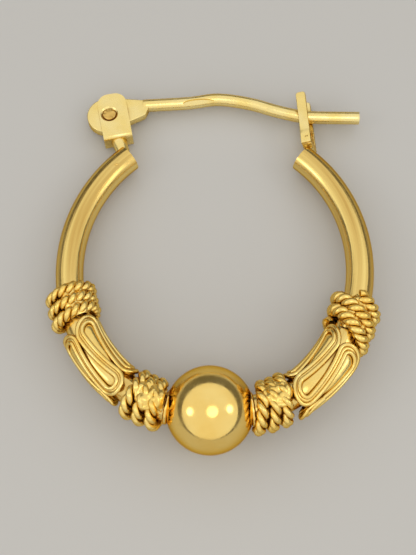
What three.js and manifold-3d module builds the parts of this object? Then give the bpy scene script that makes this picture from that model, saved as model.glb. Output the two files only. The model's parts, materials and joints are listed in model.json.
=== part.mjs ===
// One hoop earring in yellow gold: a round tube bent into a hoop, a bead and four wraps of twisted
// rope wire on it, a meander of plain wire between each pair of wraps, and an ear post that swings
// on a rivet and snaps down into a forked catch.
// Millimetres. Every piece is laid out in the hoop's own plane: +X to the catch, +Y from the bead to
// the ear post, +Z to the front. The finished group then lies on its side, as it does when put down.

import * as THREE from "three";
import { mergeVertices } from "three/addons/utils/BufferGeometryUtils.js";
import Module from "manifold-3d";

const wasm = await Module();
wasm.setup();

// Hoop tube. Angles along the hoop are degrees from the bead, positive on the catch's side.
const HOOP_HALF_WIDTH = 8.32; // centreline
const HOOP_HALF_HEIGHT = 8.95; // centreline
const BEAD_FLAT = 0.4; // the hoop runs this much straighter through the bead
const BEAD_FLAT_SHARPNESS = 24;
const HOOP_FROM = -140.4;
const HOOP_TO = 142.9;
const TUBE_RADIUS = 0.79;
const TUBE_SIDES = 14;
const TUBE_STEPS = 44;

// What sits on the tube keeps this clear of it.
const SEAT_GAP = 0.03;

const BEAD_RADIUS = 2.42;
const BEAD_SIDES = 16;
const BEAD_BELTS = 12;
const BEAD_BORE_STEPS = 8;

// Rope wraps: a twisted pair of wires wound round the tube.
// first: where the wrap begins along the hoop; pitch: degrees along the hoop in one turn; turns: times
// round the tube; hand: which way the coil advances; tilt: degrees that a turn lies further along the
// hoop on its outside; lay: length of one full twist; start: where round the tube it begins.
const ROPE_WRAPS = [
  { name: "lower_left", first: -31.26, pitch: 4.4, turns: 3, hand: 1, tilt: -0.55, lay: 1.2, start: 200 },
  { name: "lower_right", first: 17.25, pitch: 4.45, turns: 3, hand: -1, tilt: -1.2, lay: 1.2, start: 200 },
  { name: "upper_left", first: -79.1, pitch: 4.4, turns: 3, hand: -1, tilt: 2.1, lay: 0.92, start: 240 },
  { name: "upper_right", first: 61.58, pitch: 5.5, turns: 2.77, hand: -1, tilt: -3.1, lay: 0.92, start: 277 },
];
const ROPE = 0.66; // diameter of the twisted pair
const ROPE_WAIST = 0.56; // thickness of the pair across its waist, as a share of its width
const ROPE_STEPS_PER_LAY = 6;

// Wire meander: one endless wire that runs up and down the tube, with a round turn at each end.
// For its foot and its head, turn: degrees that the pattern is turned round the tube, measured from the
// front; tilt: degrees that it lies further along the hoop on the outside. lift: how far it stands off
// the tube on the outside.
const MEANDERS = [
  { name: "meander_wire_left", from: -33.6, to: -63, turn: [0, 0], tilt: [0, 2.8], lift: 0 },
  { name: "meander_wire_right", from: 32.1, to: 60.5, turn: [38, 22.5], tilt: [-1.6, -2.9], lift: 0.25 },
];
const MEANDER_WIRE = 0.38;
const MEANDER_LINES = 8; // runs of wire round the tube
const MEANDER_LEAN = 0.15; // each run leans this much round the tube, so that the turns are tear shaped
const MEANDER_RUN_STEPS = 3;
const MEANDER_TURN_STEPS = 5;
const MEANDER_SIDES = 6;

// Hinge: a strip folded into two ears, with the rivet across them. Its own +Y leans from the hoop's.
const RIVET_X = -6.68;
const RIVET_Y = 9.56;
const HINGE_LEAN = 13;
const EAR_HALF_WIDTH = 0.87;
const EAR_OFFSET = 0.27; // the ears' middle is this far to the right of the rivet
const EAR_TOP = 1.39; // above the rivet
const EAR_CORNER = 0.68;
const HINGE_FLOOR = 1.42; // inner floor, below the rivet
const HINGE_STRIP = 0.3; // thickness of the folded strip
const HINGE_HALF_GAP = 0.34;
const HINGE_NECK_RADIUS = 0.3;
const HINGE_NECK_IN_TUBE = new THREE.Vector3(-5.82, 7.22, 0);

const RIVET_RADIUS = 0.3;
const RIVET_HEAD_RADIUS = 0.43;
const RIVET_HEAD_HEIGHT = 0.07;
const RIVET_CLEARANCE = 0.05;
const RIVET_SIDES = 14;

// Catch: a narrow strip folded into a fork that the post snaps down into.
const CATCH_FOOT = new THREE.Vector3(5.5, 7.75, 0);
const CATCH_LEAN = 5.8;
const CATCH_TWIST = -18;
const CATCH_HEIGHT = 3.62;
const CATCH_HALF_WIDTH = 0.29;
const CATCH_STRIP = 0.26;
const CATCH_FLOOR = 0.45; // thickness of the fork's floor
const CATCH_HALF_GAP = 0.54;
const CATCH_NECK_RADIUS = 0.26;
const CATCH_NECK_IN_TUBE = new THREE.Vector3(5.42, 7.05, 0);

// Ear post: a bent round wire whose hinge end is beaten flat into a paddle.
const POST_RADIUS = 0.38;
const POST_SIDES = 10;
const POST_STEPS = 26;
const POST_BENDS = [
  { x: -4.7, y: 10.57 },
  { x: -1.9, y: 10.83 },
  { x: -0.1, y: 11.12 },
  { x: 1.87, y: 10.86 },
  { x: 3.48, y: 10.38 },
  { x: 4.9, y: 10.05 },
  { x: 5.9, y: 9.98 },
  { x: 8.54, y: 10.0 },
];
const PADDLE_HALF_THICKNESS = 0.27;
const PADDLE_RADIUS = 1.18; // the round heel, whose middle is off the rivet
const PADDLE_MIDDLE = { x: -0.22, y: 0.13 };
const PADDLE_SHOULDER = { x: 2.38, top: 1.35, foot: 0.66 }; // where the paddle becomes wire
const PADDLE_TAPER = [
  { x: 2.1, y: 0.24 },
  { x: 1.3, y: -0.2 },
];

// How the earring lies: on its bead, the back of the hinge and the back of the catch.
const LIE_PITCH = -4.86;
const LIE_ROLL = -1.01;

// Yellow gold, brighter where it is polished
const goldOf = (color, roughness) => new THREE.MeshStandardMaterial({ color, roughness, metalness: 1 });
const TUBE_GOLD = goldOf(0xd9b45c, 0.22);
const BEAD_GOLD = goldOf(0xd8ac50, 0.14);
const ROPE_GOLD = goldOf(0xdcae52, 0.3);
const WIRE_GOLD = goldOf(0xe0b65e, 0.28);
const FITTING_GOLD = goldOf(0xe2c678, 0.3);

const rad = THREE.MathUtils.degToRad;
const lerp = THREE.MathUtils.lerp;
const FRONT = new THREE.Vector3(0, 0, 1);

// The hoop's centreline, by its angle from the bead in radians
function hoopPoint(angle) {
  const flat = BEAD_FLAT * Math.max(0, Math.cos(angle)) ** BEAD_FLAT_SHARPNESS;
  return new THREE.Vector3(
    HOOP_HALF_WIDTH * Math.sin(angle),
    -HOOP_HALF_HEIGHT * Math.cos(angle) + flat,
    0,
  );
}

// Along the hoop: the way the tube runs there, and the way out of the hoop
function hoopFrame(angle) {
  const step = 1e-3;
  const along = hoopPoint(angle + step).sub(hoopPoint(angle - step)).normalize();
  return { at: hoopPoint(angle), along, out: new THREE.Vector3().crossVectors(along, FRONT) };
}

// The angle that lies a given length further along the centreline
function walkHoop(angle, length) {
  const steps = 24;
  let reached = angle;
  for (let i = 0; i < steps; i++) {
    const pace = hoopPoint(reached + 1e-3).distanceTo(hoopPoint(reached - 1e-3)) / 2e-3;
    reached += length / steps / pace;
  }
  return reached;
}

// A point at a radius from the tube's middle, turned round the tube from the front towards the outside
function roundTube(angle, turn, radius) {
  const { at, out } = hoopFrame(angle);
  return at.addScaledVector(FRONT, radius * Math.cos(turn)).addScaledVector(out, radius * Math.sin(turn));
}

class HoopCurve extends THREE.Curve {
  getPoint(t, target = new THREE.Vector3()) {
    return target.copy(hoopPoint(rad(HOOP_FROM + (HOOP_TO - HOOP_FROM) * t)));
  }
}

function circleShape(radius, sides) {
  const points = Array.from({ length: sides }, (_, i) => {
    const turn = (2 * Math.PI * i) / sides;
    return new THREE.Vector2(radius * Math.cos(turn), radius * Math.sin(turn));
  });
  return new THREE.Shape(points);
}

// A closed solid through rings of points, with flat caps unless it runs back into itself
function loft(rings, endless) {
  const sides = rings[0].length;
  const index = [];
  const spans = endless ? rings.length : rings.length - 1;
  for (let i = 0; i < spans; i++) {
    const here = i * sides;
    const next = ((i + 1) % rings.length) * sides;
    for (let j = 0; j < sides; j++) {
      const k = (j + 1) % sides;
      index.push(here + j, here + k, next + k, here + j, next + k, next + j);
    }
  }
  if (!endless) {
    const last = (rings.length - 1) * sides;
    for (let j = 1; j < sides - 1; j++) index.push(0, j + 1, j, last, last + j, last + j + 1);
  }
  const positions = rings.flat().flatMap((p) => p.toArray());
  const geometry = new THREE.BufferGeometry();
  geometry.setAttribute("position", new THREE.Float32BufferAttribute(positions, 3));
  return geometry.setIndex(index);
}

// Rings of a section along a path. pathAt gives a point and the way out of the tube there, and
// twistAt turns the section.
function ringsAlong(pathAt, twistAt, section, steps) {
  const rings = [];
  for (let i = 0; i <= steps; i++) {
    const t = i / steps;
    const nudge = 1e-4;
    const { at, out } = pathAt(t);
    const along = pathAt(t + nudge).at.sub(pathAt(t - nudge).at).normalize();
    const across = new THREE.Vector3().crossVectors(along, out).normalize();
    const outward = new THREE.Vector3().crossVectors(across, along);
    const c = Math.cos(twistAt(t));
    const s = Math.sin(twistAt(t));
    rings.push(
      section.map(({ x, y }) =>
        at.clone().addScaledVector(outward, c * x - s * y).addScaledVector(across, s * x + c * y),
      ),
    );
  }
  return rings;
}

// Solids for joining and cutting, and back again
function solidOf(geometry) {
  const bare = (geometry.index ? geometry.toNonIndexed() : geometry).clone();
  bare.deleteAttribute("normal");
  bare.deleteAttribute("uv");
  const merged = mergeVertices(bare, 1e-4);
  return new wasm.Manifold(
    new wasm.Mesh({
      numProp: 3,
      vertProperties: merged.attributes.position.array,
      triVerts: new Uint32Array(merged.index.array),
    }),
  );
}

function geometryOf(solid) {
  const { vertProperties, triVerts } = solid.getMesh();
  const geometry = new THREE.BufferGeometry();
  geometry.setAttribute("position", new THREE.Float32BufferAttribute(vertProperties, 3));
  return geometry.setIndex(Array.from(triVerts));
}

const hoop = new THREE.Group();
function addPiece(name, geometry, material) {
  const mesh = new THREE.Mesh(geometry, material);
  mesh.name = name;
  hoop.add(mesh);
}

// A strip folded into a fork: its side profile, run across the strip's width, and its rounded front
// outline, run through both arms, have the fork in common.
function foldedFork({ halfWidth, offset, top, corner, floor, floorThickness, strip, halfGap }) {
  const bend = strip;
  const outer = halfGap + strip;
  const foot = floor - floorThickness;
  const profile = new THREE.Shape();
  profile.moveTo(-outer, top);
  profile.lineTo(-outer, foot + bend);
  profile.quadraticCurveTo(-outer, foot, -outer + bend, foot);
  profile.lineTo(outer - bend, foot);
  profile.quadraticCurveTo(outer, foot, outer, foot + bend);
  profile.lineTo(outer, top);
  profile.lineTo(halfGap, top);
  profile.lineTo(halfGap, floor);
  profile.lineTo(-halfGap, floor);
  profile.lineTo(-halfGap, top);
  const side = new THREE.ExtrudeGeometry(profile, {
    depth: 2 * halfWidth,
    bevelEnabled: false,
    curveSegments: 3,
  });
  side.translate(0, 0, -halfWidth).rotateY(Math.PI / 2).translate(offset, 0, 0);

  const outline = new THREE.Shape();
  outline.moveTo(halfWidth, foot - strip);
  outline.lineTo(halfWidth, top - corner);
  outline.absarc(halfWidth - corner, top - corner, corner, 0, Math.PI / 2);
  outline.absarc(corner - halfWidth, top - corner, corner, Math.PI / 2, Math.PI);
  outline.lineTo(-halfWidth, foot - strip);
  const front = new THREE.ExtrudeGeometry(outline, {
    depth: 4 * outer,
    bevelEnabled: false,
    curveSegments: 6,
  });
  front.translate(offset, 0, -2 * outer);
  return solidOf(side).intersect(solidOf(front));
}

// A short round stub of solder and wire between two points
function stub(from, to, radius) {
  const sides = 8;
  const geometry = new THREE.CylinderGeometry(radius, radius, from.distanceTo(to), sides);
  const turn = new THREE.Quaternion().setFromUnitVectors(
    new THREE.Vector3(0, 1, 0),
    to.clone().sub(from).normalize(),
  );
  const middle = from.clone().add(to).multiplyScalar(0.5);
  return solidOf(geometry.applyQuaternion(turn).translate(middle.x, middle.y, middle.z));
}

const rivetHoleRadius = (RIVET_RADIUS + RIVET_CLEARANCE) / Math.cos(Math.PI / RIVET_SIDES);
function rivetHole(length) {
  const hole = new THREE.CylinderGeometry(rivetHoleRadius, rivetHoleRadius, length, RIVET_SIDES);
  return solidOf(hole.rotateX(Math.PI / 2));
}

function hingeSolid() {
  const fork = foldedFork({
    halfWidth: EAR_HALF_WIDTH,
    offset: EAR_OFFSET,
    top: EAR_TOP,
    corner: EAR_CORNER,
    floor: -HINGE_FLOOR,
    floorThickness: HINGE_STRIP,
    strip: HINGE_STRIP,
    halfGap: HINGE_HALF_GAP,
  });
  return fork
    .subtract(rivetHole(4 * (HINGE_HALF_GAP + HINGE_STRIP)))
    .rotate([0, 0, HINGE_LEAN])
    .translate([RIVET_X, RIVET_Y, 0]);
}

function catchSolid() {
  return foldedFork({
    halfWidth: CATCH_HALF_WIDTH,
    offset: 0,
    top: CATCH_HEIGHT,
    corner: CATCH_HALF_WIDTH,
    floor: CATCH_FLOOR,
    floorThickness: CATCH_FLOOR,
    strip: CATCH_STRIP,
    halfGap: CATCH_HALF_GAP,
  })
    .rotate([0, CATCH_TWIST, 0])
    .rotate([0, 0, CATCH_LEAN])
    .translate(CATCH_FOOT.toArray());
}

// The hoop tube with the hinge and the catch soldered to its ends
function addHoopTube() {
  const tube = new THREE.ExtrudeGeometry(circleShape(TUBE_RADIUS, TUBE_SIDES), {
    steps: TUBE_STEPS,
    extrudePath: new HoopCurve(),
    bevelEnabled: false,
  });
  const hingeFoot = new THREE.Vector3(EAR_OFFSET, -HINGE_FLOOR - HINGE_STRIP / 2, 0)
    .applyAxisAngle(FRONT, rad(HINGE_LEAN))
    .add(new THREE.Vector3(RIVET_X, RIVET_Y, 0));
  const catchFloor = CATCH_FOOT.clone().setY(CATCH_FOOT.y + CATCH_FLOOR / 2);
  const soldered = solidOf(tube)
    .add(hingeSolid())
    .add(stub(HINGE_NECK_IN_TUBE, hingeFoot, HINGE_NECK_RADIUS))
    .add(catchSolid())
    .add(stub(CATCH_NECK_IN_TUBE, catchFloor, CATCH_NECK_RADIUS));
  addPiece("hoop_tube", geometryOf(soldered), TUBE_GOLD);
}

// The bead, drilled along the hoop's own curve so that it sits on the bent tube
function addBead() {
  const ball = new THREE.SphereGeometry(BEAD_RADIUS, BEAD_SIDES, BEAD_BELTS).rotateZ(Math.PI / 2);
  const middle = hoopPoint(0);
  ball.translate(middle.x, middle.y, middle.z);
  const drill = circleShape((TUBE_RADIUS + SEAT_GAP) / Math.cos(Math.PI / TUBE_SIDES), TUBE_SIDES);
  const reach = walkHoop(0, BEAD_RADIUS * 1.2);
  const boreAt = (t) => hoopFrame(reach * (2 * t - 1));
  const untwisted = () => 0;
  const bore = loft(ringsAlong(boreAt, untwisted, drill.getPoints(), BEAD_BORE_STEPS), false);
  addPiece("bead", geometryOf(solidOf(ball).subtract(solidOf(bore))), BEAD_GOLD);
}

// Section of the twisted pair: two wires side by side, drawn in to a waist between them
function ropeSection() {
  const half = ROPE / 2;
  const shoulder = half * ROPE_WAIST;
  return [
    { x: half, y: 0 },
    { x: half / 2, y: shoulder },
    { x: -half / 2, y: shoulder },
    { x: -half, y: 0 },
    { x: -half / 2, y: -shoulder },
    { x: half / 2, y: -shoulder },
  ];
}

function addRopeWrap({ name, first, pitch, turns, hand, tilt, lay, start }) {
  const radius = TUBE_RADIUS + SEAT_GAP + ROPE / 2;
  const twists = Math.round((turns * 2 * Math.PI * radius) / lay);
  const pathAt = (t) => {
    const turn = rad(start) + hand * 2 * Math.PI * turns * t;
    const angle = rad(first + pitch * turns * t + tilt * Math.sin(turn));
    const point = roundTube(angle, turn, radius);
    return { at: point, out: point.clone().sub(hoopPoint(angle)).normalize() };
  };
  const twistAt = (t) => -2 * Math.PI * twists * t;
  const rings = ringsAlong(pathAt, twistAt, ropeSection(), twists * ROPE_STEPS_PER_LAY);
  addPiece(`rope_wrap_${name}`, loft(rings, false), ROPE_GOLD);
}

// The meander's way on the flat: across is round the tube in radians, along is from -1 to 1 times the
// half length of its runs, with the round turns beyond.
function meanderWay(halfRun, radius) {
  const spacing = (2 * Math.PI) / MEANDER_LINES;
  const turnRadius = spacing / 2 + MEANDER_LEAN;
  const way = [];
  for (let line = 0; line < MEANDER_LINES; line++) {
    const up = line % 2 === 0 ? 1 : -1;
    for (let i = 0; i < MEANDER_RUN_STEPS; i++) {
      const along = up * (2 * (i / MEANDER_RUN_STEPS) - 1);
      way.push({ across: line * spacing - MEANDER_LEAN * up * along, along: along * halfRun });
    }
    const middle = (line + 0.5) * spacing;
    for (let i = 0; i < MEANDER_TURN_STEPS; i++) {
      const turn = Math.PI * (1 - i / MEANDER_TURN_STEPS);
      way.push({
        across: middle + turnRadius * Math.cos(turn),
        along: up * (halfRun + radius * turnRadius * Math.sin(turn)),
      });
    }
  }
  return way;
}

function addMeander({ name, from, to, turn, tilt, lift }) {
  const radius = TUBE_RADIUS + SEAT_GAP + MEANDER_WIRE / 2;
  const spacing = (2 * Math.PI) / MEANDER_LINES;
  const foot = rad(from);
  const head = rad(to);
  const length = new THREE.Vector3().subVectors(hoopPoint(head), hoopPoint(foot)).length();
  const halfRun = length / 2 - MEANDER_WIRE / 2 - radius * (spacing / 2 + MEANDER_LEAN);
  const side = Math.sign(from);
  const points = meanderWay(halfRun, radius).map(({ across, along }) => {
    const share = along / length + 0.5;
    const around = rad(lerp(...turn, share)) + side * across;
    const pulled = rad(lerp(...tilt, share));
    const angle = foot + (head - foot) * share + pulled * Math.sin(around);
    const point = roundTube(angle, around, radius);
    point.addScaledVector(hoopFrame(angle).out, lift * Math.max(0, Math.sin(around)));
    return { at: point, out: point.clone().sub(hoopPoint(angle)).normalize() };
  });
  const section = circleShape(MEANDER_WIRE / 2, MEANDER_SIDES).getPoints();
  const count = points.length;
  const rings = points.map(({ at, out }, i) => {
    const along = points[(i + 1) % count].at.clone().sub(points[(i + count - 1) % count].at).normalize();
    const across = new THREE.Vector3().crossVectors(along, out).normalize();
    const outward = new THREE.Vector3().crossVectors(across, along);
    return section.map(({ x, y }) => at.clone().addScaledVector(outward, x).addScaledVector(across, y));
  });
  addPiece(name, loft(rings, true), WIRE_GOLD);
}

// Ear post: its beaten paddle turns between the hinge's ears
function paddleSolid() {
  const { x: midX, y: midY } = PADDLE_MIDDLE;
  const outline = new THREE.Shape();
  outline.moveTo(PADDLE_SHOULDER.x, PADDLE_SHOULDER.top);
  outline.lineTo(midX, midY + PADDLE_RADIUS);
  outline.absarc(midX, midY, PADDLE_RADIUS, rad(90), rad(315));
  for (const { x, y } of [...PADDLE_TAPER].reverse()) outline.lineTo(x, y);
  outline.lineTo(PADDLE_SHOULDER.x, PADDLE_SHOULDER.foot);
  const flat = new THREE.ExtrudeGeometry(outline, {
    depth: 2 * PADDLE_HALF_THICKNESS,
    bevelEnabled: false,
    curveSegments: 16,
  });
  flat.translate(0, 0, -PADDLE_HALF_THICKNESS);
  return solidOf(flat)
    .subtract(rivetHole(4 * PADDLE_HALF_THICKNESS))
    .translate([RIVET_X, RIVET_Y, 0]);
}

function addEarPost() {
  const bends = POST_BENDS.map(({ x, y }) => new THREE.Vector3(x, y, 0));
  const wire = new THREE.ExtrudeGeometry(circleShape(POST_RADIUS, POST_SIDES), {
    steps: POST_STEPS,
    extrudePath: new THREE.CatmullRomCurve3(bends),
    bevelEnabled: false,
  });
  addPiece("ear_post", geometryOf(solidOf(wire).add(paddleSolid())), FITTING_GOLD);
}

// Rivet: turned about the hinge's axis, with a low domed head on each ear
function addRivet() {
  const face = HINGE_HALF_GAP + HINGE_STRIP + SEAT_GAP;
  const crown = face + RIVET_HEAD_HEIGHT;
  const half = [
    [0, crown],
    [RIVET_HEAD_RADIUS * 0.6, crown - RIVET_HEAD_HEIGHT * 0.2],
    [RIVET_HEAD_RADIUS, face + RIVET_HEAD_HEIGHT * 0.3],
    [RIVET_HEAD_RADIUS, face],
    [RIVET_RADIUS, face],
  ];
  const below = half.map(([r, z]) => new THREE.Vector2(r, -z));
  const above = half.map(([r, z]) => new THREE.Vector2(r, z)).reverse();
  const turned = new THREE.LatheGeometry([...below, ...above], RIVET_SIDES);
  turned.rotateX(Math.PI / 2).translate(RIVET_X, RIVET_Y, 0);
  addPiece("rivet", geometryOf(solidOf(turned)), FITTING_GOLD);
}

addHoopTube();
addBead();
ROPE_WRAPS.forEach(addRopeWrap);
MEANDERS.forEach(addMeander);
addEarPost();
addRivet();

// Lay the hoop down and set the middle of its footprint on the origin
const earring = new THREE.Group();
hoop.rotation.set(rad(LIE_PITCH), rad(LIE_ROLL), 0);
earring.add(hoop);
const box = new THREE.Box3().setFromObject(earring, true);
const middle = box.getCenter(new THREE.Vector3());
hoop.position.set(-middle.x, -middle.y, -box.min.z);

export default earring;
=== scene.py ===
# %% [markdown]
# A gold hoop earring with rope wraps, laid down on its side.
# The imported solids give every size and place: the bent tube, the bead, four rope wraps, two wire
# meanders, the hinge, the catch and the ear post. Here each of them is modelled again as fine as the
# real goldwork, and rides on the same two bodies: the hoop and the post that swings on it.

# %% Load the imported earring
import json
import math

import bpy
from mathutils import Matrix, Vector, noise


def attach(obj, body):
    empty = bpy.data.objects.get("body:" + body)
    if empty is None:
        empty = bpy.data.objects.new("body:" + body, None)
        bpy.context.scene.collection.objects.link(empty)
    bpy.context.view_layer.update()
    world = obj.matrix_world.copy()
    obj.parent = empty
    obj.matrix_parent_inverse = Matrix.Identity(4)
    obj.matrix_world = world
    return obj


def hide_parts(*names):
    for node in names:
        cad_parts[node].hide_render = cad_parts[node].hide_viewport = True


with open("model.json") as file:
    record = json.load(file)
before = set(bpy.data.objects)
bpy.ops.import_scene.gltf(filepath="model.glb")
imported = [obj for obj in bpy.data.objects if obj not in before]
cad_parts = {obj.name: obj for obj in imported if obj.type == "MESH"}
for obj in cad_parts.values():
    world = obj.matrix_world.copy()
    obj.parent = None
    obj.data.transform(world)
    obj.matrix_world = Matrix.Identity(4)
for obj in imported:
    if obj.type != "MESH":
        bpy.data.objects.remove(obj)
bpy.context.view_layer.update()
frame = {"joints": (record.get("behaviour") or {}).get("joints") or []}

# %% [markdown]
# The earring lies a little tilted, which is awkward to model in. A jeweller would hold the hoop flat
# in a vice, so the pieces are made on a bench in the hoop's own plane, in millimetres: +X to the catch,
# +Y from the bead to the ear post, +Z to the front. The hinge's axis is square to that plane, so the
# joint tells how to lay a finished piece down.

# %% The bench
MM = 0.001
RIVET = Vector((-6.68, 9.56, 0))
hinge_joint = frame["joints"][0]
hoop_front = Vector(hinge_joint["axis"]).normalized()
hoop_right = (Vector((1, 0, 0)) - hoop_front * hoop_front.x).normalized()
hoop_up = hoop_front.cross(hoop_right)
BENCH_TURN = Matrix((hoop_right, hoop_up, hoop_front)).transposed()
hoop_middle = Vector(hinge_joint["pos_m"]) - MM * (BENCH_TURN @ RIVET)
LIE = Matrix.Translation(hoop_middle) @ BENCH_TURN.to_4x4() @ Matrix.Scale(MM, 4)
print("bench middle, mm:", [round(1000 * value, 3) for value in hoop_middle])

# %% [markdown]
# A few moves come back for every piece: add a simple shape, take a piece up alone, select a choice of its
# parts, bevel edges, cut one shape out of another, round off what is sharp, and join pieces.

# %% Moves for every piece
FAR = 5


def take_up(piece):
    if bpy.context.mode != "OBJECT":
        bpy.ops.object.mode_set(mode="OBJECT")
    bpy.ops.object.select_all(action="DESELECT")
    piece.select_set(True)
    bpy.context.view_layer.objects.active = piece
    return piece


def add_shape(name, make, **settings):
    bpy.ops.object.select_all(action="DESELECT")
    make(**settings)
    piece = bpy.context.object
    piece.name = name
    bpy.ops.object.transform_apply(location=True, rotation=True, scale=True)
    return take_up(piece)


def use_modifier(piece, kind, **settings):
    take_up(piece)
    modifier = piece.modifiers.new(kind, kind)
    for setting, value in settings.items():
        setattr(modifier, setting, value)
    bpy.ops.object.modifier_apply(modifier=modifier.name)
    return piece


# Leaves the piece in edit mode, with only the wanted edges or polygons selected
def select_parts(piece, kind, parts, wanted):
    take_up(piece)
    bpy.ops.object.mode_set(mode="EDIT")
    bpy.ops.mesh.select_mode(type=kind)
    bpy.ops.mesh.select_all(action="DESELECT")
    bpy.ops.object.mode_set(mode="OBJECT")
    for part in getattr(piece.data, parts):
        part.select = wanted(part)
    bpy.ops.object.mode_set(mode="EDIT")


def bevel_edges(piece, wanted, offset, segments):
    def wanted_edge(edge):
        one, other = (piece.data.vertices[index].co for index in edge.vertices)
        return wanted(one, other)

    select_parts(piece, "EDGE", "edges", wanted_edge)
    bpy.ops.mesh.bevel(offset=offset, segments=segments, affect="EDGES")
    bpy.ops.object.mode_set(mode="OBJECT")


def cut_out(piece, cutter):
    use_modifier(piece, "BOOLEAN", object=cutter, operation="DIFFERENCE", solver="EXACT")
    bpy.data.objects.remove(cutter)


def soften(piece, width, segments=2, angle=35):
    use_modifier(
        piece, "BEVEL", width=width, segments=segments, limit_method="ANGLE",
        angle_limit=math.radians(angle), use_clamp_overlap=True,
    )


def join_pieces(name, pieces):
    take_up(pieces[0])
    for piece in pieces:
        piece.select_set(True)
    bpy.ops.object.join()
    bpy.context.object.name = name
    return bpy.context.object


# %% [markdown]
# A finished piece is mended, laid down, and given its finish and its body, and the imported solid it
# stands for is hidden. Mending joins points that meet and turns the faces outward. On filed pieces the
# weighted normals keep the flat faces flat beside their rounded edges.

# %% Laying a piece down
MERGE = 0.001


def mend(piece, merge=True):
    take_up(piece)
    bpy.ops.object.mode_set(mode="EDIT")
    bpy.ops.mesh.select_all(action="SELECT")
    if merge:
        bpy.ops.mesh.remove_doubles(threshold=MERGE)
    bpy.ops.mesh.normals_make_consistent(inside=False)
    bpy.ops.object.mode_set(mode="OBJECT")


def lay_down(piece, finish, slot, *nodes, body="hoop", crease=38, filed=False):
    take_up(piece)
    bpy.ops.object.transform_apply(location=True, rotation=True, scale=True)
    mend(piece)
    piece.data.transform(LIE)
    piece.data.materials.clear()
    piece.data.materials.append(finish)
    bpy.ops.object.shade_smooth_by_angle(angle=math.radians(crease))
    if filed:
        use_modifier(piece, "WEIGHTED_NORMAL", keep_sharp=True)
    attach(piece, body)
    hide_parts(*nodes)
    print(piece.name, "on", body, "with", len(piece.data.polygons), "faces")


# %% [markdown]
# Most of the earring is wire and tube. A wire in Blender is easiest as a curve with a round bevel:
# the points are its path, the bevel is its thickness, and it is then made a mesh. A point's own radius
# lets the wire swell or taper, as solder and hand-cut ends do.


# %% Wire
def put_line(path, points, closed):
    line = path.splines.new("POLY")
    line.points.add(len(points) - 1)
    for knot, place in zip(line.points, points):
        knot.co = (*place, 1)
    line.use_cyclic_u = closed
    return line


def curve_to_mesh(name, path):
    piece = bpy.data.objects.new(name, path)
    bpy.context.collection.objects.link(piece)
    take_up(piece)
    bpy.ops.object.convert(target="MESH")
    return take_up(bpy.context.object)


def draw_wire(name, points, radius, closed=False, sides=12, swell=()):
    path = bpy.data.curves.new(name, "CURVE")
    path.dimensions = "3D"
    path.bevel_depth = radius
    path.bevel_resolution = sides // 2 - 2
    path.use_fill_caps = not closed
    line = put_line(path, points, closed)
    for knot, share in zip(line.points, swell):
        knot.radius = share
    return curve_to_mesh(name, path)


# A smooth line through a few bends, by Catmull and Rom's rule
def smooth_line(bends, steps):
    first = 2 * bends[0] - bends[1]
    last = 2 * bends[-1] - bends[-2]
    knots = [first, *bends, last]
    line = []
    for index in range(1, len(knots) - 2):
        before, here, there, after = knots[index - 1 : index + 3]
        for step in range(steps):
            t = step / steps
            line.append(
                here
                + (there - before) * (t / 2)
                + (2 * before - 5 * here + 4 * there - after) * (t * t / 2)
                + (3 * here - before - 3 * there + after) * (t**3 / 2)
            )
    return [*line, bends[-1]]


# %% [markdown]
# Gold is a metal with a warm tint, and almost all of its look is what it mirrors. What tells one part
# from another is the finish: the tube and the bead are buffed bright with fine hairlines, and along the
# tube dark and bright streaks of colour are painted as reflections; the hinge and the catch are filed
# satin; and in the gaps of the rope, the meander and the fittings the colour turns brown, partly polish
# residue where no buff reaches and partly painted shade. One recipe with a few settings makes all of
# them: patches of slightly deeper colour or painted streaks, a roughness that varies, fine marks as bump,
# and the brown of residue and painted shade by how closed in a place is.

# %% The recipe for gold
# The brown of polish residue and of painted shade in the gaps
RESIDUE_AND_SHADE_BROWN = (0.34, 0.16, 0.02)
EDGE_GOLD = (0.8, 0.58, 0.25)
PATCH_SCALE = 650
PATCH_RANGE = (0.32, 0.68)
RESIDUE_AND_SHADE_RANGE = (0.22, 0.72)
WEAR_SCALE = 2200
WEAR_LEAST = 0.35
WEAR_MOST = 0.7
FINE_GROOVE = 0.00001
# The colour sockets of a Mix node, which share their names with its other sockets
MIX_A = 6
MIX_B = 7
MIX_RESULT = 2


def add_node(finish, kind, links=(), **values):
    node = finish.node_tree.nodes.new(kind)
    for name, value in values.items():
        node.inputs[name.replace("_", " ")].default_value = value
    for output, name in links:
        finish.node_tree.links.new(output, node.inputs[name])
    return node


def ramp_between(finish, factor, places, colours):
    ramp = add_node(finish, "ShaderNodeValToRGB", [(factor, "Fac")])
    for stop, place, colour in zip(ramp.color_ramp.elements, places, colours):
        stop.position = place
        stop.color = (*colour, 1)
    return ramp.outputs["Color"]


# Painted shade with residue: ambient occlusion turns the base colour brown where a place is closed in, for
# the shade in gaps and folds together with the polish residue that sits there
def residue_and_painted_shade(finish, colour, reach):
    closed_in = add_node(finish, "ShaderNodeAmbientOcclusion", Distance=reach)
    open_sky = ramp_between(finish, closed_in.outputs["AO"], RESIDUE_AND_SHADE_RANGE, ((0, 0, 0), (1, 1, 1)))
    residue_and_shade_mix = add_node(finish, "ShaderNodeMix")
    residue_and_shade_mix.data_type = "RGBA"
    links = finish.node_tree.links
    links.new(open_sky, residue_and_shade_mix.inputs["Factor"])
    residue_and_shade_mix.inputs[MIX_A].default_value = (*RESIDUE_AND_SHADE_BROWN, 1)
    links.new(colour, residue_and_shade_mix.inputs[MIX_B])
    return residue_and_shade_mix.outputs[MIX_RESULT]


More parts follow.
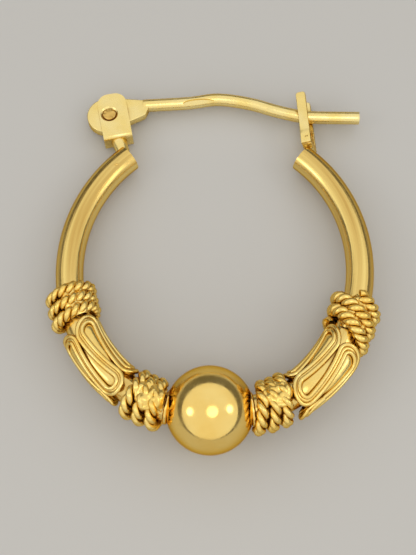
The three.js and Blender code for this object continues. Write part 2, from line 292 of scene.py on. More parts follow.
def gold_finish(name, tint, deep, smooth, rough, marks, mark_scale, residue_and_shade_reach=0, along=None, groove=FINE_GROOVE):
    finish = bpy.data.materials.new(name)
    finish.use_nodes = True
    shader = finish.node_tree.nodes["Principled BSDF"]
    links = finish.node_tree.links
    shader.inputs["Metallic"].default_value = 1
    shader.inputs["Specular Tint"].default_value = (*EDGE_GOLD, 1)
    where = add_node(finish, "ShaderNodeTexCoord").outputs["Object"]
    grain = where
    if along:
        grain = add_node(finish, "ShaderNodeAttribute").outputs["Vector"]
        grain.node.attribute_name = along
    stretch = add_node(finish, "ShaderNodeMapping", [(grain, "Vector")], Scale=mark_scale)
    hairlines_and_painted_streaks = add_node(
        finish, "ShaderNodeTexNoise", [(stretch.outputs["Vector"], "Vector")], Scale=1, Detail=4
    )
    patches = add_node(finish, "ShaderNodeTexNoise", [(where, "Vector")], Scale=PATCH_SCALE, Detail=3)
    # On the tube the colour follows the stretched hairline noise: painted reflection streaks, dark and
    # bright lines along it, beside the real hairline bump
    patches_and_painted_streaks = hairlines_and_painted_streaks if along else patches
    colour = ramp_between(finish, patches_and_painted_streaks.outputs["Fac"], PATCH_RANGE, (deep, tint))
    # Painted shade and residue: darker brown where the surface is closed in
    if residue_and_shade_reach:
        colour = residue_and_painted_shade(finish, colour, residue_and_shade_reach)
    links.new(colour, shader.inputs["Base Color"])
    wear = add_node(finish, "ShaderNodeTexNoise", [(where, "Vector")], Scale=WEAR_SCALE, Detail=5)
    dull = add_node(
        finish, "ShaderNodeMapRange", [(wear.outputs["Fac"], "Value")],
        From_Min=WEAR_LEAST, From_Max=WEAR_MOST, To_Min=smooth, To_Max=rough,
    )
    links.new(dull.outputs["Result"], shader.inputs["Roughness"])
    raised = add_node(
        finish, "ShaderNodeBump", [(hairlines_and_painted_streaks.outputs["Fac"], "Height")], Strength=marks, Distance=groove
    )
    links.new(raised.outputs["Normal"], shader.inputs["Normal"])
    print("finish", name)
    return finish


# %% The gold finishes
DEEP_GOLD = (0.96, 0.65, 0.16)
# Painted reflection: the tube's dark deep colour makes streaks along it that stand for reflected lines
TUBE_FINISH = gold_finish(
    "buffed_tube_gold", tint=(1.0, 0.76, 0.26), deep=(0.68, 0.44, 0.12), smooth=0.16, rough=0.26,
    marks=0.6, mark_scale=(2.8, 2.8, 0.08), along="straight", groove=0.00006,
)
BEAD_FINISH = gold_finish(
    "mirror_bead_gold", tint=(1.0, 0.74, 0.25), deep=(0.97, 0.66, 0.18), smooth=0.1, rough=0.22,
    marks=0.12, mark_scale=(2600, 2600, 2600),
)
ROPE_FINISH = gold_finish(
    "rope_wire_gold", tint=(1.0, 0.75, 0.25), deep=DEEP_GOLD, smooth=0.22, rough=0.36,
    marks=0.3, mark_scale=(9000, 9000, 9000), residue_and_shade_reach=0.0004,
)
WIRE_FINISH = gold_finish(
    "meander_wire_gold", tint=(1.0, 0.78, 0.29), deep=DEEP_GOLD, smooth=0.18, rough=0.3,
    marks=0.25, mark_scale=(8000, 8000, 8000), residue_and_shade_reach=0.0004,
)
FITTING_FINISH = gold_finish(
    "filed_fitting_gold", tint=(1.0, 0.83, 0.38), deep=(0.98, 0.74, 0.24), smooth=0.2, rough=0.36,
    marks=0.5, mark_scale=(9000, 1500, 9000), residue_and_shade_reach=0.0003,
)
RIVET_FINISH = gold_finish(
    "rivet_gold", tint=(0.9, 0.6, 0.18), deep=(0.5, 0.28, 0.06), smooth=0.28, rough=0.45,
    marks=0.8, mark_scale=(7000, 7000, 7000), residue_and_shade_reach=0.0003,
)

# %% [markdown]
# The hoop is a round tube bent to a slightly tall ring that is open at the top. Its line is known from
# its width and height, so the tube is a thick wire along that line. A bend tool would do it too, but the
# same line also places the bead, the ropes and the meanders, so it is worth having as a rule.

# %% The hoop's line
HOOP_HALF_WIDTH = 8.32
HOOP_HALF_HEIGHT = 8.95
BEAD_FLAT = 0.4
BEAD_FLAT_SHARPNESS = 24
HOOP_FROM = math.radians(-140.4)
HOOP_TO = math.radians(142.9)
TUBE_RADIUS = 0.79
SEAT_GAP = 0.03
FRONT = Vector((0, 0, 1))
NUDGE = 1e-3
WALK_STEPS = 24


def hoop_point(angle):
    flat = BEAD_FLAT * max(0, math.cos(angle)) ** BEAD_FLAT_SHARPNESS
    return Vector((HOOP_HALF_WIDTH * math.sin(angle), flat - HOOP_HALF_HEIGHT * math.cos(angle), 0))


def hoop_frame(angle):
    along = (hoop_point(angle + NUDGE) - hoop_point(angle - NUDGE)).normalized()
    return hoop_point(angle), along, along.cross(FRONT)


def walk_hoop(angle, length):
    for _ in range(WALK_STEPS):
        pace = (hoop_point(angle + NUDGE) - hoop_point(angle - NUDGE)).length / (2 * NUDGE)
        angle += length / WALK_STEPS / pace
    return angle


# A point at a radius from the tube's middle, turned from the front towards the outside
def round_tube(angle, turn, radius):
    at, _, out = hoop_frame(angle)
    return at + FRONT * (radius * math.cos(turn)) + out * (radius * math.sin(turn))


print("hoop line from", hoop_point(HOOP_FROM), "to", hoop_point(HOOP_TO))

# %% [markdown]
# The tube's two cut ends are bevelled, as a file leaves them, and a small nick shows near the left one. At
# last each point is told where it was on the straight tube, so that the buff's hairlines and the painted
# reflection streaks of colour can run along it.

# %% The hoop tube
TUBE_STEPS = 220
TUBE_SIDES = 48
END_BEVEL = 0.07
RIM_NEAR = 0.01
RIM_EDGE = 0.15
NICK_AT = math.radians(-132.9)
NICK_TURN = math.radians(-12)
NICK_SPIN = math.radians(20)
NICK_SIZE = (0.14, 0.07, 0.06)
tube_pace = (HOOP_TO - HOOP_FROM) / TUBE_STEPS
tube_line = [hoop_point(HOOP_FROM + tube_pace * step) for step in range(TUBE_STEPS + 1)]
tube_ends = (tube_line[0], tube_line[-1])


def on_tube_end(one, other):
    def on_rim(point):
        return any(abs((point - end).length - TUBE_RADIUS) < RIM_NEAR for end in tube_ends)

    return on_rim(one) and on_rim(other) and (one - other).length < RIM_EDGE


def mark_straight(piece):
    marks = piece.data.attributes.new("straight", "FLOAT_VECTOR", "POINT")
    for point, mark in zip(piece.data.vertices, marks.data):
        angle = math.atan2(point.co.x / HOOP_HALF_WIDTH, -point.co.y / HOOP_HALF_HEIGHT)
        at, _, out = hoop_frame(angle)
        away = point.co - at
        mark.vector = (away.z, away.dot(out), angle * HOOP_HALF_HEIGHT)


tube = draw_wire("hoop_tube_bent", tube_line, TUBE_RADIUS, sides=TUBE_SIDES)
bevel_edges(tube, on_tube_end, END_BEVEL, 3)
nick = add_shape(
    "nick", bpy.ops.mesh.primitive_uv_sphere_add, segments=24, ring_count=12, radius=1, scale=NICK_SIZE,
    location=round_tube(NICK_AT, NICK_TURN, TUBE_RADIUS), rotation=(0, 0, NICK_SPIN),
)
cut_out(tube, nick)
mark_straight(tube)
lay_down(tube, TUBE_FINISH, "tube_gold", "hoop_tube")

# %% [markdown]
# The bead is a hollow gold ball that is threaded on the tube. A ball is a sphere with a hole through it:
# a wire as thick as the bore runs along the hoop's line and is cut out, and the two mouths are rounded.
# A thin collar of solder closes the gap where the tube goes in.

# %% The bead
BEAD_RADIUS = 2.42
BEAD_BORE = 0.84
BORE_REACH = 1.25
BORE_STEPS = 8
MOUTH_ROUND = 0.06
bead_middle = hoop_point(0)
bead = add_shape(
    "bead_ball", bpy.ops.mesh.primitive_uv_sphere_add, segments=96, ring_count=64, radius=BEAD_RADIUS,
    location=bead_middle, rotation=(0, math.pi / 2, 0),
)
reach = walk_hoop(0, BEAD_RADIUS * BORE_REACH)
bore_line = [hoop_point(reach * (step / BORE_STEPS - 1)) for step in range(2 * BORE_STEPS + 1)]
cut_out(bead, draw_wire("bore", bore_line, BEAD_BORE, sides=48))
soften(bead, MOUTH_ROUND, 3, angle=45)
lay_down(bead, BEAD_FINISH, "bead_gold", "bead", crease=50)

# %% The bead's collars
COLLAR_WIRE = 0.12
COLLAR_PLACE = 2.3
COLLAR_STEPS = 48
collar_radius = TUBE_RADIUS + COLLAR_WIRE * 0.4
collars = []
for side in (-1, 1):
    mouth = walk_hoop(0, side * COLLAR_PLACE)
    turns = [2 * math.pi * step / COLLAR_STEPS for step in range(COLLAR_STEPS)]
    ring = [round_tube(mouth, turn, collar_radius) for turn in turns]
    collars.append(draw_wire("collar", ring, COLLAR_WIRE, closed=True))
lay_down(join_pieces("bead_collars", collars), BEAD_FINISH, "bead_gold", "bead")

# %% [markdown]
# Each rope wrap is a pair of fine wires twisted together and wound about three times round the tube.
# An array of rings would not show the twist, so both strands are drawn as they really run: a coil round
# the tube, and round that coil a tight left-hand twist. The turns don't lie square on the tube: each
# wrap was pulled over a little, so its outer side sits further along than its inner side. Some wander
# keeps the rows from looking machined.

# %% Rope wraps
ROPE_TRAITS = ("name", "first", "pitch", "turns", "hand", "tilt", "lay", "start")
ROPE_WRAPS = [
    dict(zip(ROPE_TRAITS, traits))
    for traits in (
        ("lower_left", -31.26, 4.4, 3, 1, -0.55, 1.2, 200),
        ("lower_right", 17.25, 4.45, 3, -1, -1.2, 1.2, 200),
        ("upper_left", -79.1, 4.4, 3, -1, 2.1, 0.92, 240),
        ("upper_right", 61.58, 5.5, 2.77, -1, -3.1, 0.92, 277),
    )
]
ROPE = 0.66
ROPE_STEPS_PER_LAY = 14
ROPE_WANDER = 0.35
WANDER_PACE = 3.1
SNUG_PITCH = 4.4
STRAND_RADIUS = ROPE / 4 * 1.08
ROPE_COIL_RADIUS = TUBE_RADIUS + SEAT_GAP + ROPE / 2


def rope_path(wrap, t):
    turn = math.radians(wrap["start"]) + wrap["hand"] * 2 * math.pi * wrap["turns"] * t
    wander = ROPE_WANDER * noise.noise(Vector((WANDER_PACE * wrap["turns"] * t, wrap["first"], 0)))
    along = wrap["first"] + wrap["pitch"] * wrap["turns"] * t + wrap["tilt"] * math.sin(turn) + wander
    angle = math.radians(along)
    return round_tube(angle, turn, ROPE_COIL_RADIUS), hoop_point(angle)


def rope_strand(wrap, phase):
    length = wrap["turns"] * 2 * math.pi * ROPE_COIL_RADIUS
    twists = round(length / wrap["lay"])
    steps = twists * ROPE_STEPS_PER_LAY
    spread = wrap["pitch"] / SNUG_PITCH
    spine = [rope_path(wrap, step / steps) for step in range(steps + 1)]
    line = []
    for step, (at, core) in enumerate(spine):
        along = (spine[min(step + 1, steps)][0] - spine[max(step - 1, 0)][0]).normalized()
        across = along.cross(at - core).normalized()
        outward = across.cross(along)
        twist = phase - 2 * math.pi * twists * step / steps
        sideways = across * math.sin(twist) * spread
        line.append(at + (outward * math.cos(twist) + sideways) * (ROPE / 4))
    return draw_wire("strand", line, STRAND_RADIUS * math.sqrt(spread), sides=10)


for wrap in ROPE_WRAPS:
    strands = [rope_strand(wrap, phase) for phase in (0, math.pi)]
    rope = join_pieces("rope_wrap_" + wrap["name"] + "_strands", strands)
    lay_down(rope, ROPE_FINISH, "rope_gold", "rope_wrap_" + wrap["name"])

# %% [markdown]
# Where the wraps were soldered on, the metal flooded some rows at the front and set in a soft
# lumpy sheet that only the crests of the strands stand out of. A grid is bent round the tube for each
# flood, high in its middle and sunk at its border, with some noise for the lumps.

# %% The solder floods
FLOODS = [
    {"name": "lower_left", "along": -23.2, "half_along": 6, "turn": -8, "half_turn": 44, "height": 1.36},
    {"name": "lower_right", "along": 26.2, "half_along": 5.6, "turn": -12, "half_turn": 42, "height": 1.36},
    {"name": "upper_left", "along": -72, "half_along": 6.5, "turn": -22, "half_turn": 48, "height": 1.24},
    {"name": "upper_right", "along": 70, "half_along": 6.5, "turn": 14, "half_turn": 46, "height": 1.22},
]
FLOOD_GRID = 40
FLOOD_SUNK = 0.9
FLOOD_STEEP = 2.4
FLOOD_LUMPS = 0.12
LUMP_PACE = 3.2
FLOOD_SHEET = 0.05


def solder_flood(flood):
    sheet = add_shape(
        "rope_solder_" + flood["name"], bpy.ops.mesh.primitive_grid_add,
        x_subdivisions=FLOOD_GRID, y_subdivisions=FLOOD_GRID, size=2,
    )
    for point in sheet.data.vertices:
        u, v = point.co.x, point.co.y
        angle = math.radians(flood["along"] + flood["half_along"] * u)
        turn = math.radians(flood["turn"] + flood["half_turn"] * v)
        from_border = FLOOD_STEEP * (1 - math.sqrt((u * u + v * v) / 2 + (u * v) ** 2 / 2))
        border = max(0, min(1, from_border))
        lumps = FLOOD_LUMPS * noise.noise(Vector((LUMP_PACE * u, LUMP_PACE * v, flood["along"])))
        rise = (flood["height"] - FLOOD_SUNK) * (3 * border**2 - 2 * border**3)
        point.co = round_tube(angle, turn, FLOOD_SUNK + rise + lumps)
    return use_modifier(sheet, "SOLIDIFY", thickness=FLOOD_SHEET, offset=0)


for flood in FLOODS:
    lay_down(solder_flood(flood), ROPE_FINISH, "rope_gold", "rope_wrap_" + flood["name"], crease=60)

# %% [markdown]
# Between the wraps a fine wire runs up and down the tube in long loops with round turns. On the real
# hoop it is a doubled wire, two thin ones side by side with a groove between them, soldered to the tube.
# So the loop's line is worked out once on the flat, and then wound round the tube.

# %% The meanders' line
MEANDERS = [
    {"name": "left", "from": -33.6, "to": -63, "turn": (0, 0), "tilt": (0, 2.8), "lift": 0},
    {"name": "right", "from": 32.1, "to": 60.5, "turn": (38, 22.5), "tilt": (-1.6, -2.9), "lift": 0.25},
]
MEANDER_WIRE = 0.38
MEANDER_LINES = 8
MEANDER_LEAN = 0.15
MEANDER_SPACING = 2 * math.pi / MEANDER_LINES
MEANDER_TURN = MEANDER_SPACING / 2 + MEANDER_LEAN
MEANDER_RADIUS = TUBE_RADIUS + SEAT_GAP + MEANDER_WIRE / 2
RUN_STEPS = 22
TURN_STEPS = 16


def meander_span(meander):
    foot = math.radians(meander["from"])
    head = math.radians(meander["to"])
    length = (hoop_point(head) - hoop_point(foot)).length
    half_run = length / 2 - MEANDER_WIRE / 2 - MEANDER_RADIUS * MEANDER_TURN
    return foot, head, length, half_run


# From the flat, across and along the tube, to a point round it
def wound(meander, across, along, radius):
    foot, head, length, _ = meander_span(meander)
    share = along / length + 0.5
    turn_foot, turn_head = meander["turn"]
    tilt_foot, tilt_head = meander["tilt"]
    side = math.copysign(1, meander["from"])
    around = math.radians(turn_foot + (turn_head - turn_foot) * share) + side * across
    pulled = math.radians(tilt_foot + (tilt_head - tilt_foot) * share)
    angle = foot + (head - foot) * share + pulled * math.sin(around)
    stand_off = hoop_frame(angle)[2] * (meander["lift"] * max(0, math.sin(around)))
    return round_tube(angle, around, radius) + stand_off


def meander_way(half_run):
    way = []
    for line in range(MEANDER_LINES):
        up = 1 if line % 2 == 0 else -1
        for step in range(RUN_STEPS):
            along = up * (2 * step / RUN_STEPS - 1)
            way.append((line * MEANDER_SPACING - MEANDER_LEAN * up * along, along * half_run))
        middle = (line + 0.5) * MEANDER_SPACING
        for step in range(TURN_STEPS):
            turn = math.pi * (1 - step / TURN_STEPS)
            reach = half_run + MEANDER_RADIUS * MEANDER_TURN * math.sin(turn)
            way.append((middle + MEANDER_TURN * math.cos(turn), up * reach))
    return way


for meander in MEANDERS:
    print("meander", meander["name"], "is", round(meander_span(meander)[2], 2), "mm long")

# %% [markdown]
# The line is drawn three times: the pair, and a plain wire under them that carries them. At the lower outer
# corner of each sleeve the wire was snipped off, and its pointed end stands free.

# %% Wire meanders
PAIR_WIRE = 0.125
PAIR_APART = 0.15
PAIR_RADIUS = TUBE_RADIUS + SEAT_GAP + MEANDER_WIRE - PAIR_WIRE
CARRIER_WIRE = 0.16
CARRIER_RADIUS = TUBE_RADIUS + 0.15
SNIP_WIRE = 0.15
SNIP_FROM = 39.5
SNIP_LENGTH = 6.5
SNIP_TURN = math.radians(70)
SNIP_RISE = 0.2
SNIP_TAPER = 0.75
SNIP_STEPS = 12


def meander_wire(meander, offset, height, radius):
    way = meander_way(meander_span(meander)[3])
    line = []
    for index, (across, along) in enumerate(way):
        last, following = way[index - 1], way[(index + 1) % len(way)]
        step_across = math.remainder(following[0] - last[0], 2 * math.pi) * MEANDER_RADIUS
        step_along = following[1] - last[1]
        pace = math.hypot(step_across, step_along)
        across += offset * step_along / pace / MEANDER_RADIUS
        along -= offset * step_across / pace
        line.append(wound(meander, across, along, height))
    return draw_wire("meander", line, radius, closed=True, sides=10)


def snipped_end(meander):
    side = math.copysign(1, meander["from"])
    height = PAIR_RADIUS + meander["lift"]
    line = []
    swell = []
    for step in range(SNIP_STEPS + 1):
        share = step / SNIP_STEPS
        angle = side * math.radians(SNIP_FROM - SNIP_LENGTH * share)
        line.append(round_tube(angle, SNIP_TURN, height + SNIP_RISE * share**2))
        swell.append(1 - SNIP_TAPER * share**2)
    return draw_wire("snip", line, SNIP_WIRE, sides=10, swell=swell)


for meander in MEANDERS:
    loops = [
        meander_wire(meander, -PAIR_APART, PAIR_RADIUS, PAIR_WIRE),
        meander_wire(meander, PAIR_APART, PAIR_RADIUS, PAIR_WIRE),
        meander_wire(meander, 0, CARRIER_RADIUS, CARRIER_WIRE),
        snipped_end(meander),
    ]
    wires = join_pieces("meander_wire_" + meander["name"] + "_pair", loops)
    lay_down(wires, WIRE_FINISH, "wire_gold", "meander_wire_" + meander["name"])

# %% [markdown]
# Inside each loop the gold is not bare tube: solder has run in and set as a low cushion that follows the
# loop's tear shape. A grid is laid over the tube for each loop, as wide as the loop is there, and
# raised towards its middle. Loops that close towards the top are fuller than the others.

# %% The cushions in the loops
CUSHION_ACROSS = 12
CUSHION_ALONG = 30
CUSHION_FULL = 0.2
CUSHION_LOW = 0.09
CUSHION_SUNK = 0.06
CUSHION_SHEET = 0.25
TIP_FALL = 3
FOOT_RISE = 1.2
TIP_LEAST = 0.02


def cushion(meander, line):
    half_run = meander_span(meander)[3]
    up = 1 if line % 2 == 0 else -1
    full = CUSHION_FULL if up > 0 else CUSHION_LOW
    pad = add_shape(
        "cushion", bpy.ops.mesh.primitive_grid_add,
        x_subdivisions=CUSHION_ACROSS, y_subdivisions=CUSHION_ALONG, size=2,
    )
    tip_round = MEANDER_RADIUS * MEANDER_TURN
    middle = (line + 0.5) * MEANDER_SPACING
    for point in pad.data.vertices:
        share, reach = point.co.x, point.co.y
        along = (reach + 1) / 2 * (half_run + tip_round + half_run) - half_run
        if along < half_run:
            width = MEANDER_SPACING / 2 + MEANDER_LEAN * along / half_run
        else:
            round_share = (along - half_run) / tip_round
            width = MEANDER_TURN * math.sqrt(max(TIP_LEAST, 1 - round_share**2))
        swell = full * (1 - share**2) * min(1, (1 - reach) * TIP_FALL) * min(1, (1 + reach) * FOOT_RISE)
        height = TUBE_RADIUS - CUSHION_SUNK + swell + CUSHION_SUNK * (1 - abs(share) ** 4)
        point.co = wound(meander, middle + share * width, up * along, height)
    return pad


for meander in MEANDERS:
    pads = [cushion(meander, line) for line in range(MEANDER_LINES)]
    cushions = join_pieces("meander_cushions_" + meander["name"], pads)
    mend(cushions, merge=False)
    use_modifier(cushions, "SOLIDIFY", thickness=CUSHION_SHEET, offset=0)
    lay_down(cushions, WIRE_FINISH, "wire_gold", "meander_wire_" + meander["name"])

# %% [markdown]
# The hinge is a strip of gold folded into a U: two ears with round shoulders stand on a folded floor. It
# is modelled as the smith would think of it, a block with its corners rounded, a slot sawn out for the
# post, and a hole with a countersink for the rivet, and then its edges are softened.


# %% Blocks and pins
def add_block(name, low, high):
    low, high = Vector(low), Vector(high)
    middle = (low + high) / 2
    return add_shape(name, bpy.ops.mesh.primitive_cube_add, size=1, location=middle, scale=high - low)


def add_pin(name, radius, depth):
    return add_shape(name, bpy.ops.mesh.primitive_cylinder_add, vertices=48, radius=radius, depth=depth)


# Edges of a block that run front to back above a level
def upper_corners(level):
    return lambda one, other: abs(one.z - other.z) > 0.1 and min(one.y, other.y) > level


# Edges of a block that run from side to side below a level
def lower_folds(level):
    return lambda one, other: abs(one.x - other.x) > 0.1 and max(one.y, other.y) < level


# %% The hinge
HINGE_LEAN = math.radians(13)
EAR_HALF_WIDTH = 0.87
EAR_OFFSET = 0.27
EAR_TOP = 1.39
EAR_SHOULDER = 0.68
HINGE_FLOOR = 1.42
HINGE_STRIP = 0.3
HINGE_HALF_GAP = 0.34
HINGE_FOLD = 0.26
HINGE_SOFT = 0.035
RIVET_HOLE = 0.35
SINK_RADIUS = 0.53
SINK_DEPTH = 0.13
hinge_outer = HINGE_HALF_GAP + HINGE_STRIP
hinge_foot = -HINGE_FLOOR - HINGE_STRIP
hinge = add_block(
    "hinge_ears",
    (EAR_OFFSET - EAR_HALF_WIDTH, hinge_foot, -hinge_outer),
    (EAR_OFFSET + EAR_HALF_WIDTH, EAR_TOP, hinge_outer),
)
bevel_edges(hinge, upper_corners(0), EAR_SHOULDER, 12)
bevel_edges(hinge, lower_folds(0), HINGE_FOLD, 5)
cut_out(hinge, add_block("slot", (-FAR, -HINGE_FLOOR, -HINGE_HALF_GAP), (FAR, FAR, HINGE_HALF_GAP)))
cut_out(hinge, add_pin("hole", RIVET_HOLE, FAR))
for face in (-1, 1):
    sink = add_shape(
        "sink", bpy.ops.mesh.primitive_cone_add, vertices=48, depth=2 * SINK_DEPTH,
        radius1=SINK_RADIUS - SINK_DEPTH, radius2=SINK_RADIUS + SINK_DEPTH,
        location=(0, 0, face * hinge_outer), rotation=(0 if face > 0 else math.pi, 0, 0),
    )
    cut_out(hinge, sink)
soften(hinge, HINGE_SOFT)
hinge.rotation_euler.z = HINGE_LEAN
hinge.location = RIVET
lay_down(hinge, FITTING_FINISH, "fitting_gold", "hoop_tube", filed=True)

# %% [markdown]
# The rivet is a pin whose two ends were hammered over into the countersinks. Each end is pulled out into a
# wider head in a few steps that get smaller, and a little noise leaves it lumpy, as a hammer does.

# %% The rivet
RIVET_RADIUS = 0.3
RIVET_HEAD = 0.39
RIVET_LUMPS = 0.06
RIVET_LUMP_PACE = 5
RIVET_FACE = hinge_outer - SINK_DEPTH + 0.02
RIVET_CROWN = hinge_outer + 0.02
CROWN_STEPS = ((0.55, 0.98), (0.3, 0.8), (0.15, 0.5))
LUMPS_PAST = RIVET_FACE + 0.02
shank = add_pin("rivet_peened", RIVET_RADIUS, 2 * RIVET_FACE)


def press_head(piece, face):
    select_parts(piece, "FACE", "polygons", lambda polygon: face * polygon.normal.z > 0.9)
    bpy.ops.mesh.extrude_region_move()
    spread = RIVET_HEAD / RIVET_RADIUS
    bpy.ops.transform.resize(value=(spread, spread, 1), center_override=(0, 0, face * RIVET_FACE))
    rise = RIVET_CROWN - RIVET_FACE
    for lift, shrink in CROWN_STEPS:
        bpy.ops.mesh.extrude_region_move(TRANSFORM_OT_translate={"value": (0, 0, face * rise * lift)})
        bpy.ops.transform.resize(value=(shrink, shrink, 1), center_override=(0, 0, 0))
    bpy.ops.object.mode_set(mode="OBJECT")


for face in (-1, 1):
    press_head(shank, face)
bpy.ops.object.mode_set(mode="EDIT")
bpy.ops.mesh.select_all(action="SELECT")
bpy.ops.mesh.subdivide(number_cuts=1)
bpy.ops.object.mode_set(mode="OBJECT")
for point in shank.data.vertices:
    if abs(point.co.z) > LUMPS_PAST:
        point.co.z += RIVET_LUMPS * noise.noise(point.co * RIVET_LUMP_PACE)
shank.location = RIVET
lay_down(shank, RIVET_FINISH, "fitting_gold", "rivet", crease=50)

# %% [markdown]
# The catch is a narrower strip, folded into a fork that the post snaps down into. It is made as the hinge
# is, but slimmer, and stands a little twisted, so that its rear arm shows beside the front one. A small
# block with a notch stands proud of its foot.

# %% The catch
CATCH_FOOT = Vector((5.5, 7.75, 0))
CATCH_LEAN = math.radians(5.8)
CATCH_TWIST = math.radians(-18)
CATCH_HEIGHT = 3.62
CATCH_HALF_WIDTH = 0.29
CATCH_STRIP = 0.26
CATCH_FLOOR = 0.45
CATCH_HALF_GAP = 0.54
CATCH_TIP = 0.17
CATCH_FOLD = 0.24
CATCH_SOFT = 0.04
BLOCK_FOOT = 0.06
BLOCK_TOP = 0.92
BLOCK_BURIED = 0.2
BLOCK_PROUD = 0.05
BLOCK_SOFT = 0.025
catch_outer = CATCH_HALF_GAP + CATCH_STRIP
fork = add_block(
    "catch_fork", (-CATCH_HALF_WIDTH, 0, -catch_outer), (CATCH_HALF_WIDTH, CATCH_HEIGHT, catch_outer)
)
bevel_edges(fork, upper_corners(CATCH_HEIGHT / 2), CATCH_TIP, 6)
bevel_edges(fork, lower_folds(CATCH_HEIGHT / 2), CATCH_FOLD, 4)
cut_out(fork, add_block("gap", (-FAR, CATCH_FLOOR, -CATCH_HALF_GAP), (FAR, FAR, CATCH_HALF_GAP)))
soften(fork, CATCH_SOFT, 3)
block = add_block(
    "catch_block",
    (-CATCH_HALF_WIDTH, BLOCK_FOOT, catch_outer - BLOCK_BURIED),
    (CATCH_HALF_WIDTH, BLOCK_TOP, catch_outer + BLOCK_PROUD),
)
cut_out(block, add_block("notch", (-0.02, 0.42, catch_outer - 0.01), (0.16, 0.5, FAR)))
soften(block, BLOCK_SOFT)
fork = join_pieces("catch_fork", [fork, block])
fork.rotation_euler = (0, CATCH_TWIST, 0)
take_up(fork)
bpy.ops.object.transform_apply(location=False, rotation=True, scale=False)
fork.rotation_euler = (0, 0, CATCH_LEAN)
fork.location = CATCH_FOOT
lay_down(fork, FITTING_FINISH, "fitting_gold", "hoop_tube", filed=True)

# %% [markdown]
# Solder holds the hinge and the catch on the outer corners of the tube's two ends. Each neck of it is a
# short wire whose thickness changes as it goes.

# %% The solder necks
hinge_seat = RIVET + Matrix.Rotation(HINGE_LEAN, 3, "Z") @ Vector((EAR_OFFSET, hinge_foot + 0.1, 0))
NECK_STEPS = 10
NECKS = [
    ("hinge_neck", [(-5.72, 7.1, 0), (-5.86, 7.55, 0), hinge_seat], [0.4, 0.42, 0.46]),
    ("catch_neck", [(5.4, 7.0, 0), (5.46, 7.4, 0), (5.5, 7.87, 0)], [0.42, 0.34, 0.27]),
]
for name, bends, radii in NECKS:
    swell = [point.x for point in smooth_line([Vector((radius, 0, 0)) for radius in radii], NECK_STEPS)]
    line = smooth_line([Vector(bend) for bend in bends], NECK_STEPS)
    neck = draw_wire(name, line, 1, sides=32, swell=swell)
    lay_down(neck, FITTING_FINISH, "fitting_gold", "hoop_tube")

# %% [markdown]
# The ear post is one wire, bent a little at the middle. It is drawn through its bends, its free end is
# bevelled, and a shallow oval is cut into its front.

# %% The ear post's wire
POST_RADIUS = 0.38
POST_STEPS = 14
POST_BENDS = [
    Vector((x, y, 0))
    for x, y in (
        (-4.7, 10.57), (-1.9, 10.83), (-0.1, 11.12), (1.87, 10.86),
        (3.48, 10.38), (4.9, 10.05), (5.9, 9.98), (8.54, 10.0),
    )
]
TIP_BEVEL = 0.07
TIP_NEAR = 0.05
TIP_EDGE = 0.12
DISH_MIDDLE = Vector((-1.26, 10.7, 0.27))
DISH_SIZE = (0.98, 0.23, 1)
DISH_DEEP = 0.4
DISH_TURN = math.radians(5.5)
DISH_SOFT = 0.02
post = draw_wire("ear_post_wire", smooth_line(POST_BENDS, POST_STEPS), POST_RADIUS, sides=32)


def on_post_tip(one, other):
    return min(one.x, other.x) > POST_BENDS[-1].x - TIP_NEAR and (one - other).length < TIP_EDGE


bevel_edges(post, on_post_tip, TIP_BEVEL, 3)
dish = add_shape(
    "dish", bpy.ops.mesh.primitive_cylinder_add, vertices=64, radius=1, depth=DISH_DEEP, scale=DISH_SIZE,
    location=DISH_MIDDLE + FRONT * (DISH_DEEP / 2), rotation=(0, 0, DISH_TURN),
)
cut_out(post, dish)
soften(post, DISH_SOFT, 2, angle=40)
lay_down(post, FITTING_FINISH, "fitting_gold", "ear_post", body="post")

# %% [markdown]
# Where the post turns on the rivet it was beaten flat into a paddle. The paddle is a flat outline, a round
# heel between two lists of points, given thickness and rounded edges, with the rivet's hole cut out.

# %% The ear post's paddle
PADDLE_HALF = 0.27
PADDLE_BEVEL = 0.05
HEEL_RADIUS = 1.18
HEEL_MIDDLE = Vector((-0.22, 0.13, 0))
HEEL_STEPS = 40
TOP_EDGE = ((2.45, 1.24), (1.6, 1.3), (0.9, 1.33))
SHOULDER = ((1.32, -0.21), (1.7, -0.02), (2.13, 0.22), (2.26, 0.52), (2.42, 1.0))
heel = [math.radians(90 + 225 * step / HEEL_STEPS) for step in range(HEEL_STEPS + 1)]
outline = [Vector((x, y, 0)) for x, y in TOP_EDGE]
outline += [HEEL_MIDDLE + HEEL_RADIUS * Vector((math.cos(turn), math.sin(turn), 0)) for turn in heel]
outline += [Vector((x, y, 0)) for x, y in SHOULDER]


def cut_plate(name, points, half_thickness, bevel):
    flat = bpy.data.curves.new(name, "CURVE")
    flat.dimensions = "2D"
    flat.fill_mode = "BOTH"
    flat.extrude = half_thickness - bevel
    flat.bevel_depth = bevel
    flat.bevel_resolution = 2
    flat.offset = -bevel
    put_line(flat, points, closed=True)
    return curve_to_mesh(name, flat)


paddle = cut_plate("ear_post_paddle", outline, PADDLE_HALF, PADDLE_BEVEL)
mend(paddle)
cut_out(paddle, add_pin("hole", RIVET_HOLE, FAR))
paddle.location = RIVET
lay_down(paddle, FITTING_FINISH, "fitting_gold", "ear_post", body="post", filed=True)

# %% [markdown]
# The picture: a plain pale floor, soft studio light, and the camera where the photographer held it, close
# above the earring and a little towards the bead.

# %% The floor
FLOOR_SIZE = 1.2
FLOOR_COLOUR = (0.56, 0.55, 0.53, 1)
FLOOR_ROUGH = 0.9
ground = add_shape("pale_floor", bpy.ops.mesh.primitive_plane_add, size=FLOOR_SIZE, location=(0, 0, 0))
pale = bpy.data.materials.new("pale_floor")
pale.use_nodes = True
floor_shader = pale.node_tree.nodes["Principled BSDF"]
floor_shader.inputs["Base Color"].default_value = FLOOR_COLOUR
floor_shader.inputs["Roughness"].default_value = FLOOR_ROUGH
ground.data.materials.append(pale)
print("floor", FLOOR_SIZE, "m wide")

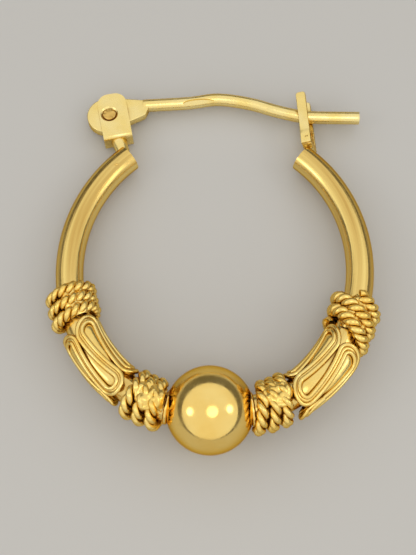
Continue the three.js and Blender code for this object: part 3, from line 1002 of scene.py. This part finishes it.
# %% The camera's axes
LOOK_DOWN = math.radians(22.5)
LOOK_ASIDE = math.radians(1.53)
CAMERA_ROLL = math.radians(1.99)
back = Vector(
    (
        math.sin(LOOK_ASIDE) * math.cos(LOOK_DOWN),
        -math.sin(LOOK_DOWN),
        math.cos(LOOK_ASIDE) * math.cos(LOOK_DOWN),
    )
)
level = Vector((0, 1, 0)).cross(back).normalized()
upright = back.cross(level)
camera_right = math.cos(CAMERA_ROLL) * level + math.sin(CAMERA_ROLL) * upright
camera_up = math.cos(CAMERA_ROLL) * upright - math.sin(CAMERA_ROLL) * level
camera_turn = BENCH_TURN @ Matrix((camera_right, camera_up, back)).transposed()
print("camera looks along", camera_turn @ Vector((0, 0, -1)))

# %% [markdown]
# Gold shows what it mirrors, so the studio is a dim room under one very big softbox: the softbox makes the
# bright fields, and the dim room round it the dark lines along the tube. Three round lamps in front of
# the softbox give the spots on the bead and the bright lines. They are placed as the photographer saw
# them: one on the left, one on the right and one close behind the camera. A lamp's power is its brightness
# times pi times its area, so a lamp can change its size and look as bright as before.

# %% The light
ROOM = 0.16
ROOM_TINT = (1.0, 0.98, 0.95, 1)
LAMP_TINT = (1.0, 0.98, 0.94)
LAMP_TRAITS = ("name", "way", "away", "width", "brightness")
LAMPS = [
    dict(zip(LAMP_TRAITS, traits))
    for traits in (
        ("softbox", (0, 0.08, 1), 0.25, 2, 0.72),
        ("left_lamp", (-0.785, 0.03, 0.62), 0.16, 0.05, 1.9),
        ("right_lamp", (0.78, 0.13, 0.61), 0.16, 0.05, 1.9),
        ("camera_lamp", (0.11, 0.07, 0.99), 0.16, 0.08, 1.3),
    )
]
world = bpy.context.scene.world or bpy.data.worlds.new("studio")
bpy.context.scene.world = world
world.use_nodes = True
world.node_tree.nodes["Background"].inputs["Color"].default_value = ROOM_TINT
world.node_tree.nodes["Background"].inputs["Strength"].default_value = ROOM
bead_spot = LIE @ bead_middle
for traits in LAMPS:
    bulb = bpy.data.lights.new(traits["name"], "AREA")
    bulb.shape = "DISK"
    bulb.size = traits["width"]
    bulb.energy = traits["brightness"] * math.pi * math.pi * traits["width"] ** 2 / 4
    bulb.color = LAMP_TINT
    lamp = bpy.data.objects.new(traits["name"], bulb)
    bpy.context.collection.objects.link(lamp)
    shine_from = camera_turn @ Vector(traits["way"]).normalized()
    lamp.location = bead_spot + traits["away"] * shine_from
    lamp.rotation_euler = (-shine_from).to_track_quat("-Z", "Y").to_euler()
    lamp.visible_camera = False
bpy.context.scene.view_settings.view_transform = "Standard"
print("lamps:", len(LAMPS))

# %% [markdown]
# The camera's lens follows from the photo: its focal length in pixels, over the picture's height, is a
# share of the sensor. The distance and the aim are in the bench's millimetres.

# %% The camera
IMAGE_HEIGHT = 555
FOCAL_PIXELS = 961
SENSOR = 36
CAMERA_AWAY = 54.91
CAMERA_AIM = Vector((-0.348, -0.793, 0))
lens = bpy.data.cameras.new("photo_camera")
lens.sensor_width = SENSOR
lens.lens = FOCAL_PIXELS / IMAGE_HEIGHT * SENSOR
lens.clip_start = 0.001
lens.clip_end = 10
camera = bpy.data.objects.new("photo_camera", lens)
bpy.context.collection.objects.link(camera)
camera.matrix_world = Matrix.Translation(LIE @ (CAMERA_AIM + CAMERA_AWAY * back)) @ camera_turn.to_4x4()
bpy.context.scene.camera = camera
print("lens, mm:", round(lens.lens, 1))
